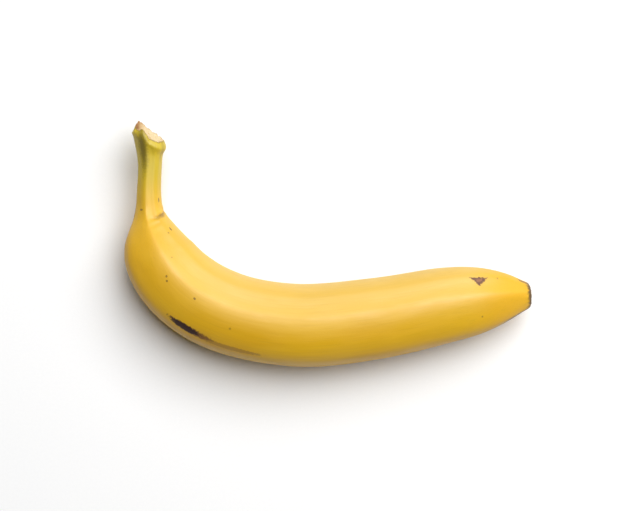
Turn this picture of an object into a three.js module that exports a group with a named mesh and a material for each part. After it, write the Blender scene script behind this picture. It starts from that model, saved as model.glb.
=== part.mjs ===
// A ripe Cavendish banana, picked from its hand and lying on its side. It grew as one piece, from the
// torn stem end, round the neck and the belly, to the blossom end, and so it is one solid.
// Millimetres, +Z up. +X points to the blossom end and +Y to the hollow side of the bend. The origin is
// under the middle of the fruit, on the surface that it lies on.
import * as THREE from 'three';

// How finely the skin is faceted.
const GIRTH_FACETS = 60;
const RINGS = 84;

// The centre line of the fruit: down the stem, round the neck, along the belly and out to the tip.
const centreLine = new THREE.CatmullRomCurve3([
  new THREE.Vector3(-77.2, 47, 19.5), // stem end
  new THREE.Vector3(-76.9, 34, 18.8),
  new THREE.Vector3(-77.5, 20, 17.6), // neck
  new THREE.Vector3(-76.7, 8.3, 16.4),
  new THREE.Vector3(-73, -5.9, 15.4), // shoulder
  new THREE.Vector3(-63.3, -18.7, 15.8),
  new THREE.Vector3(-45.7, -29.5, 16.4), // bend
  new THREE.Vector3(-14, -35.8, 16.8), // belly
  new THREE.Vector3(22, -32.7, 16.7),
  new THREE.Vector3(52, -27.1, 15.9),
  new THREE.Vector3(73, -24, 14.8),
  new THREE.Vector3(88.3, -22.9, 13.9), // blossom end
]);
const LENGTH = centreLine.getLength();

// Along the centre line, in mm from the stem end: half the fruit's thickness across the bend, and how
// strongly the ridges stand out, from 0 for a round section to 1 for flat faces.
const stations = [
  { at: 0, half: 6.3, ridges: 0.4 },
  { at: 2, half: 7.1, ridges: 0.4 }, // flared where it tore from the hand
  { at: 5, half: 6.3, ridges: 0.5 },
  { at: 9, half: 5.45, ridges: 0.6 },
  { at: 16, half: 4.95, ridges: 0.65 }, // stem
  { at: 26, half: 5.15, ridges: 0.65 },
  { at: 32, half: 5.7, ridges: 0.7 },
  { at: 36.5, half: 7.2, ridges: 0.8 }, // neck
  { at: 41, half: 9.9, ridges: 0.8 },
  { at: 46, half: 12.8, ridges: 0.75 },
  { at: 52, half: 15, ridges: 0.7 }, // shoulder
  { at: 62, half: 16.5, ridges: 0.6 },
  { at: 80, half: 17.5, ridges: 0.5 },
  { at: 102, half: 17.75, ridges: 0.45 },
  { at: 126, half: 17.95, ridges: 0.42 }, // thickest at the belly
  { at: 150, half: 17.8, ridges: 0.45 },
  { at: 174, half: 17.15, ridges: 0.5 },
  { at: 189, half: 16.4, ridges: 0.6 },
  { at: 200, half: 15.1, ridges: 0.7 },
  { at: 209, half: 13, ridges: 0.75 },
  { at: 216.5, half: 10.2, ridges: 0.75 },
  { at: 222, half: 7.5, ridges: 0.6 },
  { at: 225.8, half: 5.3, ridges: 0.4 },
  { at: LENGTH, half: 4, ridges: 0.3 }, // blossom end
];

// The five ridges, in degrees from straight up towards the outside of the bend. The broadest face, between
// the last two, is the one that it lies on. The stem is twisted a little against the body.
const RIDGES = [-46, -9, 56, 134, 222];
const RIDGE_HEIGHT = 0.085;
const RIDGE_SOFTNESS = 0.22;
const STEM_TWIST = 19; // fading out in these mm along the neck
const TWIST_FADES_FROM = 30;
const TWIST_FADES_AT = 52;

// The stem tore off on a slope: longer on the outside of the bend, shorter on top.
const TEAR_OUTWARD = -0.72;
const TEAR_UPWARD = 0.3;
const TEAR_FADES_AT = 12;

// How far the skin stands out at an angle in degrees: 1 on a ridge, 0 in the middle of a face.
function ridgeShare(angle) {
  const { euclideanModulo } = THREE.MathUtils;
  const shares = RIDGES.map((start, i) => {
    const end = RIDGES[(i + 1) % RIDGES.length];
    return euclideanModulo(angle - start, 360) / euclideanModulo(end - start, 360);
  });
  const across = Math.min(...shares); // on its own face a share is below 1, and on the others above
  const dip = Math.hypot(Math.sin(Math.PI * across), RIDGE_SOFTNESS) - RIDGE_SOFTNESS;
  return 1 - dip / (Math.hypot(1, RIDGE_SOFTNESS) - RIDGE_SOFTNESS);
}

// The point of the centre line at a distance from the stem end, with the directions along it, to the
// outside of the bend and up. Past either end it goes straight on.
function frameAt(distance) {
  const share = THREE.MathUtils.clamp(distance / LENGTH, 0, 1);
  const along = centreLine.getTangentAt(share);
  const outward = new THREE.Vector3().crossVectors(along, new THREE.Vector3(0, 0, 1)).normalize();
  const upward = new THREE.Vector3().crossVectors(outward, along);
  const centre = centreLine.getPointAt(share).addScaledVector(along, distance - share * LENGTH);
  return { centre, outward, upward };
}

// The fruit is first turned like a straight skittle, ring by ring from the stem end, and closed at both
// ends on its axis. Then each point is moved out to the section's shape and bent onto the centre line.
function bananaGeometry() {
  const skin = new THREE.CatmullRomCurve3(
    stations.map(({ at, half, ridges }) => new THREE.Vector3(at, half, ridges)),
  ).getSpacedPoints(RINGS);
  const rings = [new THREE.Vector3(0, 0, 0), ...skin, new THREE.Vector3(LENGTH, 0, 0)];
  const geometry = new THREE.LatheGeometry(
    rings.map((ring) => new THREE.Vector2(ring.y, ring.x)),
    GIRTH_FACETS,
  );
  const position = geometry.getAttribute('position');
  for (let i = 0; i < position.count; i += 1) {
    const ring = rings[i % rings.length];
    const turn = Math.atan2(position.getX(i), position.getZ(i));
    const twist = STEM_TWIST * (1 - THREE.MathUtils.smoothstep(ring.x, TWIST_FADES_FROM, TWIST_FADES_AT));
    const ridge = ridgeShare(THREE.MathUtils.radToDeg(turn) - twist);
    const radius = ring.y * (1 + RIDGE_HEIGHT * ring.z * ridge);
    const out = radius * Math.sin(turn);
    const up = radius * Math.cos(turn);
    const torn = 1 - THREE.MathUtils.smoothstep(ring.x, 0, TEAR_FADES_AT);
    const { centre, outward, upward } = frameAt(
      ring.x + torn * (TEAR_OUTWARD * out + TEAR_UPWARD * up),
    );
    const point = centre.addScaledVector(outward, out).addScaledVector(upward, up);
    // Its own weight presses it flat where it touches the surface.
    position.setXYZ(i, point.x, point.y, Math.max(0, point.z));
  }
  geometry.computeBoundingBox();
  const middle = geometry.boundingBox.getCenter(new THREE.Vector3());
  geometry.translate(-middle.x, -middle.y, 0);
  geometry.computeVertexNormals();
  return geometry;
}

const peel = new THREE.MeshStandardMaterial({ color: 0xe9b82c, roughness: 0.45, metalness: 0 });
const banana = new THREE.Mesh(bananaGeometry(), peel);
banana.name = 'banana';

const fruit = new THREE.Group();
fruit.add(banana);

export default fruit;
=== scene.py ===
"""A ripe banana, picked from its hand and lying on its side. It is built in metres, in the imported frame:
+X points to the blossom end, +Y to the hollow side of the bend, and it lies on the plane z = 0."""

import bisect
import math

import bmesh
import bpy
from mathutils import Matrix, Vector, noise


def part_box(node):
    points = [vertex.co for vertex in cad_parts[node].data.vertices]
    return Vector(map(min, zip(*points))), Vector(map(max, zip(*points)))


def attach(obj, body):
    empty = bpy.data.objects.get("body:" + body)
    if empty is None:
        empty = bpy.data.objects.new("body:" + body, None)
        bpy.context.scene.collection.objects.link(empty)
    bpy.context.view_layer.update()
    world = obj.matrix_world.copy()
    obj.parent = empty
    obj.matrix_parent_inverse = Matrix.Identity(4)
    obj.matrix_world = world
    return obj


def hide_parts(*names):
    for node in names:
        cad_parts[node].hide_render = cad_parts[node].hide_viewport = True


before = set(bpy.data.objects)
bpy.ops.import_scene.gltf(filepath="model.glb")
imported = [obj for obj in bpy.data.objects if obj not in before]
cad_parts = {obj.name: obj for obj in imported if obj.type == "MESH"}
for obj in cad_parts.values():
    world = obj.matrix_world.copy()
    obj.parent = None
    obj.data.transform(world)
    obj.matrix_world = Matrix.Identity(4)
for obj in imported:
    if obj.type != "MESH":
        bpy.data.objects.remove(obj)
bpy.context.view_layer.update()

# ---------------------------------------------------------------------------------------------------
# The body. Peel and pulp grew together as one, along a core line that bends from the stem, round the
# neck and the belly, to the blossom end. It is first spun from half its outline as if it were
# straight, like a turned skittle, and it is bent last, when every detail is on it.
# ---------------------------------------------------------------------------------------------------
MM = 0.001
TOUCHING = 0.001 * MM  # points nearer than this count as one place

# The core line, in mm.
CORE = [
    (-77.2, 47, 19.5),  # stem end
    (-76.9, 34, 18.8),
    (-77.5, 20, 17.6),  # neck
    (-76.7, 8.3, 16.4),
    (-73, -5.9, 15.4),  # shoulder
    (-63.3, -18.7, 15.8),
    (-45.7, -29.5, 16.4),  # bend
    (-14, -35.8, 16.8),  # belly
    (22, -32.7, 16.7),
    (52, -27.1, 15.9),
    (73, -24, 14.8),
    (88.3, -22.9, 13.9),  # blossom end
]


def point_between(before, start, end, after, share):
    """A point part of the way from start to end, on a smooth curve that passes through all four."""
    gap_before, gap, gap_after = (
        math.sqrt((b - a).length) for a, b in ((before, start), (start, end), (end, after))
    )
    leaving = (start - before) / gap_before - (end - before) / (gap_before + gap) + (end - start) / gap
    arriving = (end - start) / gap - (after - start) / (gap + gap_after) + (after - end) / gap_after
    square, cube = share**2, share**3
    return (
        (2 * cube - 3 * square + 1) * start
        + (cube - 2 * square + share) * gap * leaving
        + (3 * square - 2 * cube) * end
        + (cube - square) * gap * arriving
    )


def smooth_line(points, steps):
    """Points close together on a smooth curve that passes through all the given ones."""
    points = [2 * points[0] - points[1], *points, 2 * points[-1] - points[-2]]
    line = [
        point_between(*points[i : i + 4], step / steps)
        for i in range(len(points) - 3)
        for step in range(steps)
    ]
    return [*line, points[-2]]


core_line = smooth_line([MM * Vector(point) for point in CORE], steps=48)
core_places = [0]
for start, end in zip(core_line, core_line[1:]):
    core_places.append(core_places[-1] + (end - start).length)
LENGTH = core_places[-1]

# In mm: how far along the core line from the stem end, half the thickness there, and how strongly the
# ridges stand out, from 0 for a round section to 1 for flat faces.
GIRTHS = [
    (0, 6.3, 0.4),
    (2, 7.1, 0.4),  # flared where it tore from the hand
    (5, 6.3, 0.5),
    (9, 5.45, 0.6),
    (16, 4.95, 0.65),  # stem
    (26, 5.15, 0.65),
    (32, 5.7, 0.7),
    (36.5, 7.2, 0.8),  # neck
    (41, 9.9, 0.8),
    (46, 12.8, 0.75),
    (52, 15, 0.7),  # shoulder
    (62, 16.5, 0.6),
    (80, 17.5, 0.5),
    (102, 17.75, 0.45),
    (126, 17.95, 0.42),  # thickest at the belly
    (150, 17.8, 0.45),
    (174, 17.15, 0.5),
    (189, 16.4, 0.6),
    (200, 15.1, 0.7),
    (209, 13, 0.75),
    (216.5, 10.2, 0.75),
    (222, 7.5, 0.6),
    (225.8, 5.3, 0.4),
    (LENGTH / MM, 4.3, 0.3),  # blossom end
]
girth_line = smooth_line([Vector(girth) for girth in GIRTHS], steps=16)
girth_places = [point.x * MM for point in girth_line]


def smoothstep(low, high, value):
    """0 below low, 1 above high, and a smooth rise between them."""
    share = min(1, max(0, (value - low) / (high - low)))
    return share * share * (3 - 2 * share)


def girth_at(along):
    """Half the thickness, and how strongly the ridges stand out, at a distance from the stem end."""
    i = min(max(bisect.bisect(girth_places, along), 1), len(girth_line) - 1)
    share = (along - girth_places[i - 1]) / (girth_places[i] - girth_places[i - 1])
    point = girth_line[i - 1].lerp(girth_line[i], min(1, max(0, share)))
    return point.y * MM, point.z


def ring_gap(along):
    """How far the next ring of points is: near at the torn end, the neck and the blossom end."""
    from_stem = smoothstep(10 * MM, 18 * MM, along)
    from_blossom = smoothstep(10 * MM, 20 * MM, LENGTH - along)
    from_neck = smoothstep(4 * MM, 12 * MM, abs(along - 36 * MM))
    return MM * min(0.16 + 0.54 * min(from_stem, from_blossom), 0.28 + 0.42 * from_neck)


POINTS_ROUND = 150
END_RINGS = 28

rings = [0]
while rings[-1] < LENGTH - ring_gap(LENGTH):
    rings.append(rings[-1] + ring_gap(rings[-1]))
rings.append(LENGTH)
end_shares = [i / END_RINGS for i in range(END_RINGS)]
outline = [
    *((share * girth_at(0)[0], 0) for share in end_shares),
    *((girth_at(along)[0], along) for along in rings),
    *((share * girth_at(LENGTH)[0], LENGTH) for share in reversed(end_shares)),
]

fruit = bmesh.new()
outline_points = [fruit.verts.new((radius, 0, along)) for radius, along in outline]
outline_edges = [fruit.edges.new(pair) for pair in zip(outline_points, outline_points[1:])]
bmesh.ops.spin(
    fruit,
    geom=[*outline_points, *outline_edges],
    cent=(0, 0, 0),
    axis=(0, 0, 1),
    dvec=(0, 0, 0),
    angle=math.tau,
    steps=POINTS_ROUND,
    use_merge=True,
    use_duplicate=False,
)
bmesh.ops.remove_doubles(fruit, verts=fruit.verts, dist=TOUCHING)
bmesh.ops.recalc_face_normals(fruit, faces=fruit.faces)

# While the fruit is straight, x is out, towards the outside of the bend, y is up and z is along.
# The layers remember which points are on the torn face and the blossom face, from 1 at the rim to 0 at
# the middle, how brown the peel has turned, and how near each point is to the crest of a ridge.
torn_face = fruit.verts.layers.float.new("torn_face")
blossom_face = fruit.verts.layers.float.new("blossom_face")
browned = fruit.verts.layers.float.new("browned")
ridge = fruit.verts.layers.float.new("ridge")
TORN = 1
BLOSSOM = 2
for face in fruit.faces:
    middle = face.calc_center_median()
    if middle.z < TOUCHING:
        face.material_index = TORN
    elif middle.z > LENGTH - TOUCHING:
        face.material_index = BLOSSOM


def turn_of(point):
    """The angle of a point round the core line, from straight up towards the outside of the bend."""
    return math.atan2(point.x, point.y)


def outward_of(point):
    """The direction straight out from the core line through a point."""
    return Vector((point.x, point.y, 0)).normalized()


# ---------------------------------------------------------------------------------------------------
# The five ridges of the peel. They run from the stem to the blossom end, crisp at the shoulder and
# near the tip and soft on the belly, where the ripe pulp has filled the faces out. The stem is
# twisted a little against the body.
# ---------------------------------------------------------------------------------------------------
RIDGES = [-46, -9, 56, 134, 222]  # degrees from straight up towards the outside of the bend
RIDGE_HEIGHT = 0.085
NEAR_SOFTNESS = 0.25
BELLY_SOFTNESS = 0.7
STEM_TWIST = math.radians(19)


def ridge_share(turn, softness):
    """1 on a ridge, and down to 0 in the middle of the face between two ridges."""
    edges = zip(RIDGES, [*RIDGES[1:], RIDGES[0] + 360])
    across = min((math.degrees(turn) - start) % 360 / (end - start) for start, end in edges)
    dip = math.hypot(math.sin(math.pi * across), softness) - softness
    return 1 - dip / (math.hypot(1, softness) - softness)


for vert in fruit.verts:
    twist = STEM_TWIST * (1 - smoothstep(30 * MM, 52 * MM, vert.co.z))
    on_belly = smoothstep(70 * MM, 115 * MM, vert.co.z) - smoothstep(185 * MM, 215 * MM, vert.co.z)
    turn = turn_of(vert.co)
    filled_out = on_belly * (1 - smoothstep(0, math.radians(40), turn))
    softness = NEAR_SOFTNESS + (BELLY_SOFTNESS - NEAR_SOFTNESS) * filled_out
    vert[ridge] = ridge_share(turn - twist, softness)
    swell = 1 + RIDGE_HEIGHT * girth_at(vert.co.z)[1] * vert[ridge]
    vert.co.x *= swell
    vert.co.y *= swell

# Nothing that grows is even: the peel swells and sinks a little, in patches longer than they are
# wide, and the stem is finely grooved along its fibres.
for vert in fruit.verts:
    patch = Vector((vert.co.x / 14, vert.co.y / 14, vert.co.z / 34)) / MM
    fibre = Vector((vert.co.x / 1.3, vert.co.y / 1.3, vert.co.z / 22)) / MM
    on_stem = 1 - smoothstep(28 * MM, 46 * MM, vert.co.z)
    bump = 0.22 * noise.noise(patch) + 0.05 * noise.noise(4 * patch)
    bump += (0.02 + 0.07 * on_stem) * noise.noise(fibre)
    from_core = math.hypot(vert.co.x, vert.co.y)
    vert.co += outward_of(vert.co) * bump * MM * smoothstep(0, 5 * MM, from_core)

# ---------------------------------------------------------------------------------------------------
# The neck. The stem was bent where it runs into the shoulder, so the peel is creased there, most
# deeply on the hollow side, and the crease has browned.
# ---------------------------------------------------------------------------------------------------
# In mm and degrees: where the crease crosses the middle of its run, how much further along it lies
# for each degree of turn, its middle, its reach to each side, its depth and its width.
CREASES = [
    {"along": 35.4, "slope": 0.022, "middle": -58, "reach": 62, "depth": 0.55, "width": 0.75},
    {"along": 38.6, "slope": 0.03, "middle": -30, "reach": 50, "depth": 0.16, "width": 0.9},
    {"along": 33, "slope": -0.015, "middle": -95, "reach": 45, "depth": 0.2, "width": 0.7},
    {"along": 36.8, "slope": 0.02, "middle": 150, "reach": 60, "depth": 0.3, "width": 0.8},
]


def degrees_apart(turn, degrees):
    """How many degrees an angle is past another one, from -180 to 180."""
    return (math.degrees(turn) - degrees + 180) % 360 - 180


for vert in fruit.verts:
    if not 28 * MM < vert.co.z < 46 * MM:
        continue
    turn = turn_of(vert.co)
    for crease in CREASES:
        past_middle = degrees_apart(turn, crease["middle"])
        strength = max(0, 1 - (past_middle / crease["reach"]) ** 2) ** 1.5
        wander = 0.5 * noise.noise(Vector((turn * 3, crease["along"], 0)))
        line = crease["along"] + crease["slope"] * past_middle + wander
        off_line = (vert.co.z / MM - line) / crease["width"]
        groove = strength * math.exp(-(off_line**2))
        lip = strength * math.exp(-((abs(off_line) - 2) ** 2))
        vert.co += outward_of(vert.co) * MM * crease["depth"] * (0.35 * lip - groove)
        brown_round_it = 0.8 * strength * math.exp(-((off_line / 1.7) ** 2))
        vert[browned] = max(vert[browned], brown_round_it * crease["depth"])

# ---------------------------------------------------------------------------------------------------
# The torn stem end. The fruit was pulled off its hand, not cut: the stem flares there, the tear runs
# on a slope, longer on the outside of the bend, and its edge is ragged. The flesh is fibrous.
# ---------------------------------------------------------------------------------------------------
TEAR_OUTWARD = -0.72
TEAR_UPWARD = 0.3
TEAR_FADES_AT = 12 * MM
# In degrees and mm: where the edge leaves that slope, how wide, and how far down the stem.
TEAR_STEPS = [(18, 15, -2.3), (88, 24, 3.2), (-75, 45, -1.6), (135, 18, -1.2)]

for vert in fruit.verts:
    if vert.co.z > TEAR_FADES_AT:
        continue
    on_face = vert.co.z < TOUCHING
    half = girth_at(0)[0]
    share = min(1, math.hypot(vert.co.x, vert.co.y) / half)
    turn = turn_of(vert.co)
    step = sum(
        shift * math.exp(-((degrees_apart(turn, degrees) / width) ** 2))
        for degrees, width, shift in TEAR_STEPS
    )
    ragged = 0.7 * noise.noise(Vector((5 * math.cos(turn), 5 * math.sin(turn), 7)))
    ragged += 0.3 * noise.noise(Vector((14 * math.cos(turn), 14 * math.sin(turn), 3)))
    edge = MM * (step + ragged) * share**3
    slope = TEAR_OUTWARD * vert.co.x + TEAR_UPWARD * vert.co.y
    long_fade = 1 - smoothstep(0, TEAR_FADES_AT, vert.co.z)
    short_fade = 1 - smoothstep(0, 5 * MM, vert.co.z)
    vert[browned] = max(vert[browned], 0.5 * math.exp(-vert.co.z / (0.4 * MM)))
    if on_face:
        vert[torn_face] = share
        fibre = Vector((vert.co.x, vert.co.y, 0)) / (0.55 * MM)
        edge += MM * (0.5 * (1 - share**2) + 0.28 * noise.noise(fibre) + 0.3 * noise.noise(fibre / 4))
    vert.co.z += slope * long_fade + edge * short_fade

# ---------------------------------------------------------------------------------------------------
# The blossom end. The flower dried up and fell off here, and left a small dark crust: a sunken
# five-lobed face with a hard rim, and the stub of the style in its middle.
# ---------------------------------------------------------------------------------------------------
for vert in fruit.verts:
    from_tip = LENGTH - vert.co.z
    if from_tip > 9 * MM:
        continue
    turn = turn_of(vert.co)
    share = min(1, math.hypot(vert.co.x, vert.co.y) / girth_at(LENGTH)[0])
    wrinkle = noise.noise(Vector((4 * math.cos(turn), 4 * math.sin(turn), vert.co.z / (4 * MM))))
    if from_tip < TOUCHING:
        vert[blossom_face] = share
        lobes = 0.5 + 0.5 * math.cos(5 * turn)
        stub = 1.3 * math.exp(-((share / 0.25) ** 2))
        dish = -1.1 * (1 - share**4) + 0.25 * lobes * share * (1 - share)
        crust = 0.22 * noise.noise(Vector((vert.co.x, vert.co.y, 0)) / (0.6 * MM))
        vert.co.z += MM * (dish + stub + crust)
    else:
        vert.co += outward_of(vert.co) * MM * 0.25 * wrinkle * (1 - smoothstep(0, 6 * MM, from_tip))
    flecks = noise.noise(Vector((vert.co.x, vert.co.y, vert.co.z / 2)) / (0.9 * MM))
    scorch = 1.7 * math.exp(-from_tip / (0.95 * MM)) + 0.5 * math.exp(-from_tip / (2.5 * MM)) * flecks
    vert[browned] = max(vert[browned], min(1, max(0, scorch)))

# ---------------------------------------------------------------------------------------------------
# Bending. The straight fruit is laid on its core line, and its own weight presses it flat where it
# touches the table. The straight place of each point stays with it, for what follows the skin.
# ---------------------------------------------------------------------------------------------------
straight = fruit.verts.layers.float_vector.new("straight")


def core_at(along):
    """The point of the core line at a distance from the stem end, and the direction there."""
    i = min(max(bisect.bisect(core_places, along), 2), len(core_line) - 3)
    share = (along - core_places[i - 1]) / (core_places[i] - core_places[i - 1])
    point = core_line[i - 1].lerp(core_line[i], share)
    before = (core_line[i] - core_line[i - 2]).normalized()
    after = (core_line[i + 1] - core_line[i - 1]).normalized()
    return point, before.lerp(after, min(1, max(0, share))).normalized()


for vert in fruit.verts:
    vert[straight] = vert.co
    out, up, along = vert.co
    point, direction = core_at(along)
    outward = direction.cross(Vector((0, 0, 1))).normalized()
    vert.co = point + out * outward + up * outward.cross(direction)
    vert.co.z = max(0, vert.co.z)

cad_low, cad_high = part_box("banana")
low = Vector(min(vert.co[i] for vert in fruit.verts) for i in range(3))
high = Vector(max(vert.co[i] for vert in fruit.verts) for i in range(3))
shift = (cad_low + cad_high - low - high) / 2
bmesh.ops.translate(fruit, verts=fruit.verts, vec=(shift.x, shift.y, 0))

mesh = bpy.data.meshes.new("banana_fruit")
fruit.to_mesh(mesh)
fruit.free()
mesh.shade_smooth()
banana = bpy.data.objects.new("banana_fruit", mesh)
bpy.context.scene.collection.objects.link(banana)
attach(banana, "root")
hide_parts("banana")


# ---------------------------------------------------------------------------------------------------
# The ripe peel. Its waxy skin is yellow, greener on the stem and deeper near the tip, with fine
# fibres along it, freckles, a brown scar on the inner ridge, and a black bruise on the outer one.
# ---------------------------------------------------------------------------------------------------
def put(tree, kind, inputs=None, **settings):
    """Adds a node with these settings. Each input is joined to a socket, or set to a value."""
    made = tree.nodes.new(kind)
    for name, value in settings.items():
        setattr(made, name, value)
    for name, value in (inputs or {}).items():
        if isinstance(value, bpy.types.NodeSocket):
            tree.links.new(value, made.inputs[name])
        else:
            made.inputs[name].default_value = value
    return made


def remembered(tree, name):
    """What the mesh remembers for each point under this name."""
    return put(tree, "ShaderNodeAttribute", attribute_name=name)


def cloudy(tree, place, size, detail=2, stretch=1):
    """A soft pattern from 0 to 1 whose patches have this size in mm, stretched along the fruit."""
    scaled = put(
        tree,
        "ShaderNodeVectorMath",
        {0: place, 1: (1 / (size * MM), 1 / (size * MM), 1 / (size * stretch * MM))},
        operation="MULTIPLY",
    )
    inputs = {"Vector": scaled.outputs[0], "Scale": 1, "Detail": detail}
    return put(tree, "ShaderNodeTexNoise", inputs).outputs[0]


def rise(tree, value, low, high, to_low=0, to_high=1):
    """A smooth step of a value between two levels."""
    return put(
        tree,
        "ShaderNodeMapRange",
        {"Value": value, "From Min": low, "From Max": high, "To Min": to_low, "To Max": to_high},
        interpolation_type="SMOOTHSTEP",
    ).outputs[0]


def combine(tree, operation, first, second):
    """Two numbers worked into one."""
    return put(tree, "ShaderNodeMath", {0: first, 1: second}, operation=operation).outputs[0]


def stain(tree, share, under, over):
    """One colour laid over another, as far as share says."""
    made = put(tree, "ShaderNodeMix", data_type="RGBA")
    for socket, value in ((made.inputs[0], share), (made.inputs[6], under), (made.inputs[7], over)):
        if isinstance(value, bpy.types.NodeSocket):
            tree.links.new(value, socket)
        else:
            socket.default_value = value
    return made.outputs[2]


peel = bpy.data.materials.new("ripe_peel")
peel.use_nodes = True
tree = peel.node_tree
place = remembered(tree, "straight").outputs["Vector"]
sides = put(tree, "ShaderNodeSeparateXYZ", {0: place}).outputs
outward_here, up_here, along_here = sides
turn_here = combine(tree, "ARCTAN2", outward_here, up_here)
ragged = cloudy(tree, place, 0.8, detail=3)


def offset_from(along, degrees, across, length):
    """How far a place on the peel is from this one, round and along, as a share of these lengths in mm."""
    half = girth_at(along * MM)[0]
    off_round = combine(tree, "SUBTRACT", turn_here, math.radians(degrees))
    round_share = combine(tree, "DIVIDE", off_round, across * MM / half)
    long_share = combine(tree, "DIVIDE", combine(tree, "SUBTRACT", along_here, along * MM), length * MM)
    return put(tree, "ShaderNodeCombineXYZ", {0: round_share, 1: long_share}).outputs[0]


def mark(along, degrees, across, length, edge=0.4):
    """1 on an oval mark of the peel, 0 off it, with a ragged edge that is sharp or soft."""
    offset = offset_from(along, degrees, across, length)
    reach = put(tree, "ShaderNodeVectorMath", {0: offset}, operation="LENGTH").outputs["Value"]
    reach = combine(tree, "ADD", reach, combine(tree, "SUBTRACT", ragged, 0.5))
    return rise(tree, reach, 1 + edge / 2, 1 - edge / 2)


# The yellow, paler and deeper in long patches, then each part in its own tint, and painted sheen.
colour = stain(
    tree,
    rise(tree, cloudy(tree, place, 16, detail=3, stretch=2.5), 0.35, 0.65),
    (0.77, 0.42, 0.004, 1),
    (0.81, 0.465, 0.007, 1),
)
# Painted sheen: the hollow side, which faces the light, is painted a paler, whiter yellow.
painted_sheen_side = rise(tree, outward_here, 9 * MM, -12 * MM)
painted_sheen_side = combine(tree, "MULTIPLY", painted_sheen_side, rise(tree, along_here, 45 * MM, 95 * MM, 0.45, 1))
colour = stain(tree, painted_sheen_side, colour, (0.75, 0.475, 0.075, 1))
on_ridge = rise(tree, remembered(tree, "ridge").outputs["Fac"], 0.75, 1, 0, 0.12)
colour = stain(tree, on_ridge, colour, (0.66, 0.36, 0.01, 1))
on_stem = rise(tree, along_here, 37 * MM, 12 * MM)
colour = stain(tree, on_stem, colour, (0.6, 0.445, 0.018, 1))
near_tip = rise(tree, along_here, 197 * MM, 217 * MM)
colour = stain(tree, near_tip, colour, (0.8, 0.43, 0.003, 1))

# Fine fibres run the length of the peel. They show most on the stem.
fibres = cloudy(tree, place, 0.45, detail=4, stretch=45)
fibre_strength = rise(tree, along_here, 52 * MM, 20 * MM, 0.12, 0.2)
fibre_share = combine(tree, "MULTIPLY", rise(tree, fibres, 0.5, 0.72), fibre_strength)
colour = stain(tree, fibre_share, colour, (0.42, 0.24, 0.01, 1))

# The grooves of the stem and the lower side of the tip are olive: partly the green that stays longest
# there, partly painted shade on the sides that turn from the light.
OLIVE_AND_SHADE = (0.15, 0.11, 0.003, 1)
for along, degrees, across, length, strength in [
    (6.5, 23, 1.9, 8.5, 0.85),
    (7, -62, 0.8, 5, 0.3),
    (8, 130, 1.6, 9, 0.6),
    (218, 72, 2, 9, 0.45),
]:
    share = combine(tree, "MULTIPLY", mark(along, degrees, across, length, edge=1.4), strength)
    colour = stain(tree, share, colour, OLIVE_AND_SHADE)

# Freckles where the peel was rubbed, and dashes where it was scratched. The wide dash on the lower
# side of the tip is painted shade.
FRECKLE_AND_SHADE = (0.13, 0.05, 0.008, 1)
for along, degrees, across, length, strength in [
    (28.5, -57, 0.4, 1, 0.8),
    (32.3, 31, 0.8, 0.4, 0.7),
    (42.3, -50, 0.5, 0.85, 0.8),
    (43.8, -38, 0.4, 0.4, 0.5),
    (57.8, -20, 0.4, 0.4, 0.4),
    (63.8, 3, 0.5, 0.5, 0.7),
    (65.4, 7, 0.45, 0.45, 0.7),
    (79, 0, 0.5, 0.55, 0.75),
    (96.9, 18, 0.5, 0.5, 0.45),
    (202.5, 28, 0.45, 0.45, 0.5),
    (211.5, -42, 0.45, 0.4, 0.45),
    (223.5, -60, 0.9, 2.6, 0.8),
    # painted shade on the underside of the tip
    (220, 68, 1.6, 6, 0.7),
]:
    share = combine(tree, "MULTIPLY", mark(along, degrees, across, length), strength)
    colour = stain(tree, share, colour, FRECKLE_AND_SHADE)

# On the side that faces the table there are more of them, scattered.
cells = put(tree, "ShaderNodeTexVoronoi", {"Vector": place, "Scale": 1 / (7 * MM)})
chosen = rise(tree, cells.outputs["Color"], 0.6, 0.62)
scattered = combine(tree, "MULTIPLY", rise(tree, cells.outputs["Distance"], 0.11, 0.08), chosen)
below = rise(tree, up_here, -4 * MM, -8 * MM, 0, 0.7)
colour = stain(tree, combine(tree, "MULTIPLY", scattered, below), colour, FRECKLE_AND_SHADE)

# The scar on the inner ridge near the tip has three corners, and it is darkest round its edge.
offset = offset_from(203.4, -36, 1.75, 2.9)
reach = -1
for corner in (math.radians(90), math.radians(210), math.radians(330)):
    side = (-math.cos(corner - math.pi / 2), math.sin(corner - math.pi / 2), 0)
    across_side = put(tree, "ShaderNodeVectorMath", {0: offset, 1: side}, operation="DOT_PRODUCT")
    reach = combine(tree, "MAXIMUM", reach, across_side.outputs["Value"])
reach = combine(tree, "ADD", reach, combine(tree, "MULTIPLY", combine(tree, "SUBTRACT", ragged, 0.5), 1.1))
colour = stain(tree, rise(tree, reach, 0.85, 0.6), colour, (0.13, 0.036, 0.004, 1))
colour = stain(tree, rise(tree, reach, 0.45, 0.1, 0, 0.7), colour, (0.33, 0.12, 0.035, 1))

# The bruise on the outer ridge, black at its heart, with a brown tail that thins out along the ridge.
for along, degrees, across, length, brown, strength in [
    (97, 49, 1.1, 14, (0.4, 0.19, 0.008, 1), 0.7),
    (83, 46, 1.6, 8.5, (0.2, 0.07, 0.006, 1), 0.85),
    (81, 46, 1.5, 6, (0.03, 0.003, 0.0005, 1), 1),
]:
    share = combine(tree, "MULTIPLY", mark(along, degrees, across, length), strength)
    colour = stain(tree, share, colour, brown)

# Wherever the peel was creased, torn or scorched by the dry flower, it has turned brown.
brown_here = remembered(tree, "browned").outputs["Fac"]
brown_here = combine(tree, "ADD", brown_here, combine(tree, "MULTIPLY", ragged, 0.15))
colour = stain(tree, rise(tree, brown_here, 0.12, 0.75), colour, (0.12, 0.058, 0.006, 1))

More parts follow.
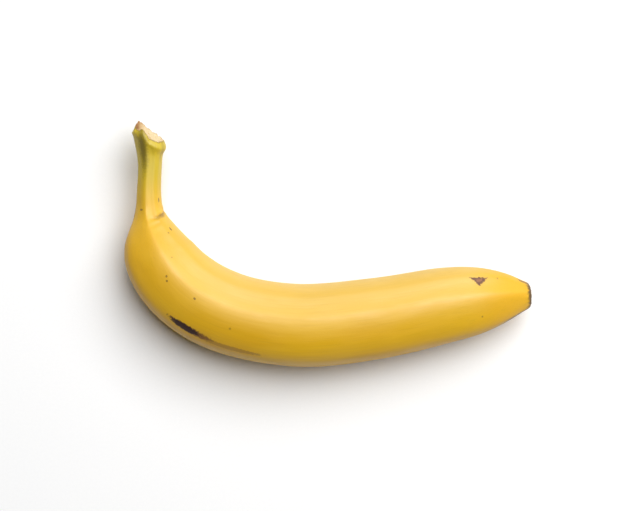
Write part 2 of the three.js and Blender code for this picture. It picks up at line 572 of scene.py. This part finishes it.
# Pores and fibres in relief, under a thin wax that is duller in patches.
pores = cloudy(tree, place, 0.35, detail=2)
relief = combine(tree, "ADD", pores, combine(tree, "MULTIPLY", fibres, 1.5))
wax = cloudy(tree, place, 5, detail=4, stretch=3)
shader = tree.nodes["Principled BSDF"]
shader.inputs["Specular IOR Level"].default_value = 0.75
bump = put(tree, "ShaderNodeBump", {"Strength": 0.35, "Distance": 0.12 * MM, "Height": relief})
tree.links.new(colour, shader.inputs["Base Color"])
tree.links.new(rise(tree, wax, 0.3, 0.7, 0.46, 0.58), shader.inputs["Roughness"])
tree.links.new(bump.outputs[0], shader.inputs["Normal"])

# The torn flesh is cream and fibrous, tanned in patches by the air, with a thin brown rim.
torn = bpy.data.materials.new("torn_flesh")
torn.use_nodes = True
tree = torn.node_tree
place = remembered(tree, "straight").outputs["Vector"]
from_middle = remembered(tree, "torn_face").outputs["Fac"]
strands = cloudy(tree, place, 0.5, detail=4)
colour = stain(tree, rise(tree, strands, 0.35, 0.65), (0.66, 0.48, 0.24, 1), (0.8, 0.66, 0.4, 1))
tanned = rise(tree, cloudy(tree, place, 3.2, detail=3), 0.5, 0.7, 0, 0.5)
colour = stain(tree, tanned, colour, (0.5, 0.27, 0.06, 1))
outer_side = put(tree, "ShaderNodeSeparateXYZ", {0: place}).outputs[0]
# The torn face turns darker brown towards the outside of the bend.
colour = stain(tree, rise(tree, outer_side, 1 * MM, 6 * MM, 0, 0.9), colour, (0.4, 0.19, 0.045, 1))
colour = stain(tree, rise(tree, outer_side, 3.6 * MM, 6 * MM, 0, 0.8), colour, (0.19, 0.075, 0.016, 1))
colour = stain(tree, rise(tree, from_middle, 0.86, 1, 0, 0.5), colour, (0.42, 0.2, 0.08, 1))
shader = tree.nodes["Principled BSDF"]
bump = put(tree, "ShaderNodeBump", {"Strength": 0.6, "Distance": 0.3 * MM, "Height": strands})
tree.links.new(colour, shader.inputs["Base Color"])
tree.links.new(rise(tree, strands, 0.3, 0.7, 0.6, 0.85), shader.inputs["Roughness"])
tree.links.new(bump.outputs[0], shader.inputs["Normal"])

# The crust at the blossom end is dry and almost black, with paler fibres.
crust = bpy.data.materials.new("blossom_crust")
crust.use_nodes = True
tree = crust.node_tree
place = remembered(tree, "straight").outputs["Vector"]
grain = cloudy(tree, place, 0.5, detail=4)
shader = tree.nodes["Principled BSDF"]
colour = stain(tree, rise(tree, grain, 0.4, 0.7), (0.03, 0.016, 0.007, 1), (0.14, 0.08, 0.03, 1))
at_rim = rise(tree, remembered(tree, "blossom_face").outputs["Fac"], 0.8, 1, 0, 0.6)
colour = stain(tree, at_rim, colour, (0.1, 0.07, 0.015, 1))
bump = put(tree, "ShaderNodeBump", {"Strength": 0.7, "Distance": 0.3 * MM, "Height": grain})
tree.links.new(colour, shader.inputs["Base Color"])
tree.links.new(rise(tree, grain, 0.3, 0.7, 0.7, 0.95), shader.inputs["Roughness"])
tree.links.new(bump.outputs[0], shader.inputs["Normal"])
for material in (peel, torn, crust):
    mesh.materials.append(material)

# ---------------------------------------------------------------------------------------------------
# The table, the light and the camera. The fruit lies on a plain white laminate table top, under one
# large soft light from beyond its hollow side. The camera looks straight down on it.
# ---------------------------------------------------------------------------------------------------
table = bmesh.new()
bmesh.ops.create_grid(table, x_segments=1, y_segments=1, size=2)
table_mesh = bpy.data.meshes.new("table_top")
table.to_mesh(table_mesh)
table.free()
table_top = bpy.data.objects.new("table_top", table_mesh)
bpy.context.scene.collection.objects.link(table_top)
white = bpy.data.materials.new("white_table")
white.use_nodes = True
tree = white.node_tree
grain = cloudy(tree, put(tree, "ShaderNodeTexCoord").outputs["Object"], 1.2, detail=3)
shader = tree.nodes["Principled BSDF"]
bump = put(tree, "ShaderNodeBump", {"Strength": 0.1, "Distance": 0.05 * MM, "Height": grain})
colour = stain(tree, grain, (0.92, 0.92, 0.92, 1), (0.96, 0.96, 0.96, 1))
tree.links.new(colour, shader.inputs["Base Color"])
tree.links.new(rise(tree, grain, 0.3, 0.7, 0.65, 0.8), shader.inputs["Roughness"])
tree.links.new(bump.outputs[0], shader.inputs["Normal"])
table_mesh.materials.append(white)

ROOM_LIGHT = 0.015
studio = bpy.data.worlds.new("studio")
studio.use_nodes = True
studio.node_tree.nodes["Background"].inputs["Color"].default_value = (1, 1, 1, 1)
studio.node_tree.nodes["Background"].inputs["Strength"].default_value = ROOM_LIGHT
bpy.context.scene.world = studio

SOFTBOX_SIDE = 1.6  # metres
SOFTBOX_WATTS = 43.5
softbox = bpy.data.lights.new("softbox", "AREA")
softbox.shape = "RECTANGLE"
softbox.size = SOFTBOX_SIDE
softbox.size_y = SOFTBOX_SIDE
softbox.energy = SOFTBOX_WATTS
softbox_object = bpy.data.objects.new("softbox", softbox)
softbox_object.location = (0.48, 0.63, 1.38)
softbox_object.rotation_euler = (-softbox_object.location).to_track_quat("-Z", "Y").to_euler()
bpy.context.scene.collection.objects.link(softbox_object)

SENSOR = 36 * MM
LENS = 100 * MM
VIEW_WIDTH = 278.4 * MM
FRUIT_MIDDLE = 16 * MM
camera_data = bpy.data.cameras.new("camera")
camera_data.sensor_width = SENSOR / MM
camera_data.lens = LENS / MM
camera = bpy.data.objects.new("camera", camera_data)
camera.location = (-3.5 * MM, -5.2 * MM, FRUIT_MIDDLE + VIEW_WIDTH * LENS / SENSOR)
bpy.context.scene.collection.objects.link(camera)
bpy.context.scene.camera = camera
bpy.context.scene.view_settings.view_transform = "Standard"
